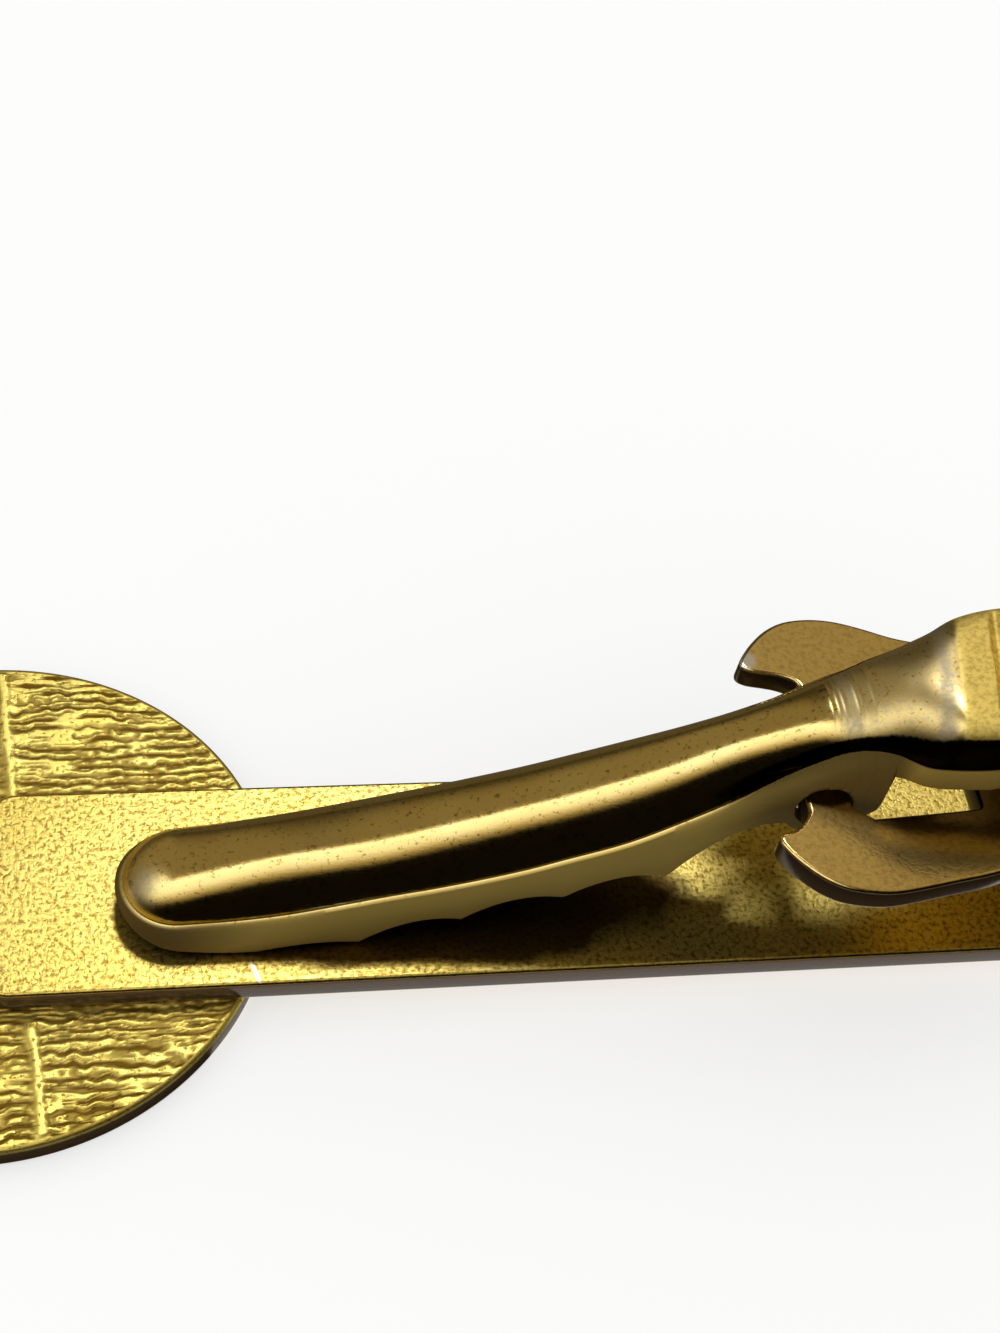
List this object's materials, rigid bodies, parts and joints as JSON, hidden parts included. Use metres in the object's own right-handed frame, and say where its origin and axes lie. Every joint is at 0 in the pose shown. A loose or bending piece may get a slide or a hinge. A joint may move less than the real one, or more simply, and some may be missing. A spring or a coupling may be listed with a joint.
{
  "type": "tie clip",
  "caption": "Gilt tie clip with a round disc on a folded bar and a sprung, scalloped jaw that pivots on horned lugs to grip a tie against the shirt.",
  "frame": {"origin": "on the front face of the disc, below the bar's centre line", "axes": "+X along the bar from the disc to the fold, +Z out of the back, where the jaw is, +Y across the bar"},
  "size_m": [0.0371, 0.0146, 0.0096],
  "materials": {
    "gilt_strip": "grained gilt, burnished edges",
    "gilt_disc": "gilt with etched lines on the back, satin front",
    "gilt_jaw": "polished gilt, worn to grey at the bends",
    "spring_steel": "plain rolled"
  },
  "bodies": {
    "base": {"base_bar": "gilt_strip", "emblem_disc": "gilt_disc", "leaf_spring": "spring_steel"},
    "jaw": {"jaw": "gilt_jaw"}
  },
  "joints": [
    {"name": "jaw_pivot", "type": "hinge", "parent": "base", "child": "jaw", "pos_m": [0.02055, 0, 0.00626], "axis": [0, 1, 0], "range_deg": [0, 12], "stiffness_Nm_per_rad": 0.05, "springref_deg": -34.38, "deforming": ["leaf_spring"]}
  ]
}
